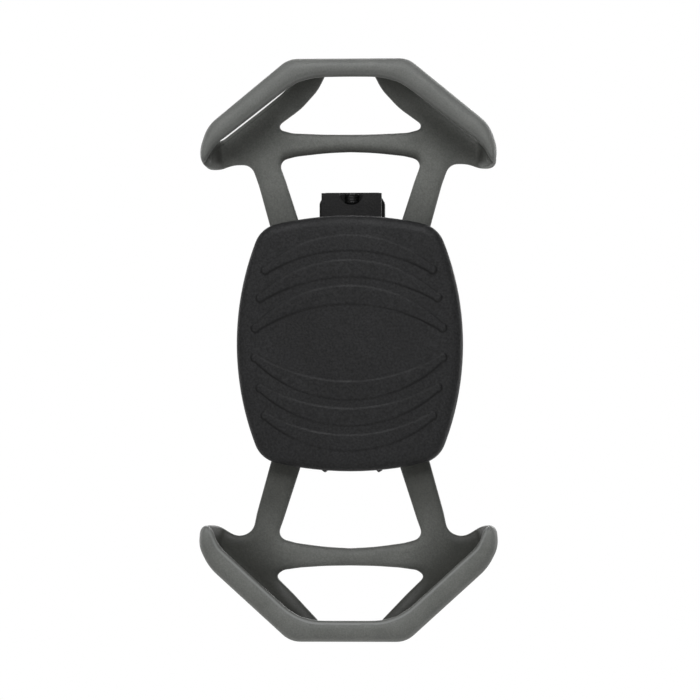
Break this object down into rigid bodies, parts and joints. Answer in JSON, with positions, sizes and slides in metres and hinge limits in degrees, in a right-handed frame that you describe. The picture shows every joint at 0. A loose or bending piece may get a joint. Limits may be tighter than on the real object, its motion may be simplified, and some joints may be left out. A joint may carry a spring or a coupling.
{
  "type": "phone mount",
  "caption": "Bar-mounted phone holder with a stretch silicone corner harness on a swivelling pad, held on the bar by a hooked rubber strap.",
  "frame": {"origin": "on the axis of the bar that the saddle holds, in the middle of the saddle's width", "axes": "+X along the bar, +Y away from the phone towards the strap, +Z towards the top of the holder"},
  "size_m": [0.0704, 0.0576, 0.14],
  "materials": {
    "pad": "fine grained matte",
    "shell": "fine grained matte",
    "frame": "glass-filled, satin",
    "silicone": "matte, warm grey",
    "strap": "matte black",
    "saddle": "matte",
    "plate_metal": "bead-blasted",
    "spring_steel": "brushed",
    "screws": "zinc plated"
  },
  "bodies": {
    "bar_clamp": {"clamp_frame": "frame", "saddle_pad": "saddle", "hub_screws": "screws", "swivel_hub": "plate_metal", "retaining_disc": "spring_steel", "wave_washer": "spring_steel", "pivot_screw": "screws", "strap_hook": "spring_steel", "hook_screws": "screws", "strap_pin": "spring_steel", "pin_clips": "spring_steel"},
    "phone_plate": {"pad_cover": "pad", "core_plate": "plate_metal", "rear_shell": "shell", "shell_screws": "screws", "upper_legs": "silicone", "lower_legs": "silicone", "detent_springs": "spring_steel", "detent_screws": "screws"},
    "upper_grip": {"upper_loops": "silicone"},
    "lower_grip": {"lower_loops": "silicone"},
    "strap_root": {"strap_lower": "strap"},
    "strap_curl": {"strap_middle": "strap"},
    "strap_end": {"strap_upper": "strap", "pull_tab": "frame"}
  },
  "joints": [
    {"name": "plate_swivel", "type": "hinge", "parent": "bar_clamp", "child": "phone_plate", "pos_m": [0, -0.023, 0], "axis": [0, -1, 0], "continuous": true, "deforming": ["detent_springs"]},
    {"name": "upper_stretch", "type": "slide", "parent": "phone_plate", "child": "upper_grip", "axis": [0, 0, 1], "range_m": [0, 0.012], "stiffness_N_per_m": 300, "deforming": ["upper_legs"]},
    {"name": "lower_stretch", "type": "slide", "parent": "phone_plate", "child": "lower_grip", "axis": [0, 0, -1], "range_m": [0, 0.012], "stiffness_N_per_m": 300, "deforming": ["lower_legs"]},
    {"name": "strap_swing", "type": "hinge", "parent": "bar_clamp", "child": "strap_root", "pos_m": [0, -0.0185, -0.0269], "axis": [-1, 0, 0], "range_deg": [0, 10]},
    {"name": "strap_uncurl", "type": "hinge", "parent": "strap_root", "child": "strap_curl", "pos_m": [0, 0.01686, -0.00786], "axis": [-1, 0, 0], "range_deg": [0, 30]},
    {"name": "strap_unhook", "type": "hinge", "parent": "strap_curl", "child": "strap_end", "pos_m": [0, 0.01611, 0.0093], "axis": [-1, 0, 0], "range_deg": [0, 80], "stiffness_Nm_per_rad": 0.01}
  ],
  "couplings": [
    {"joint": "strap_swing", "follows": "strap_unhook", "ratio": 0.125},
    {"joint": "strap_uncurl", "follows": "strap_unhook", "ratio": 0.375}
  ]
}
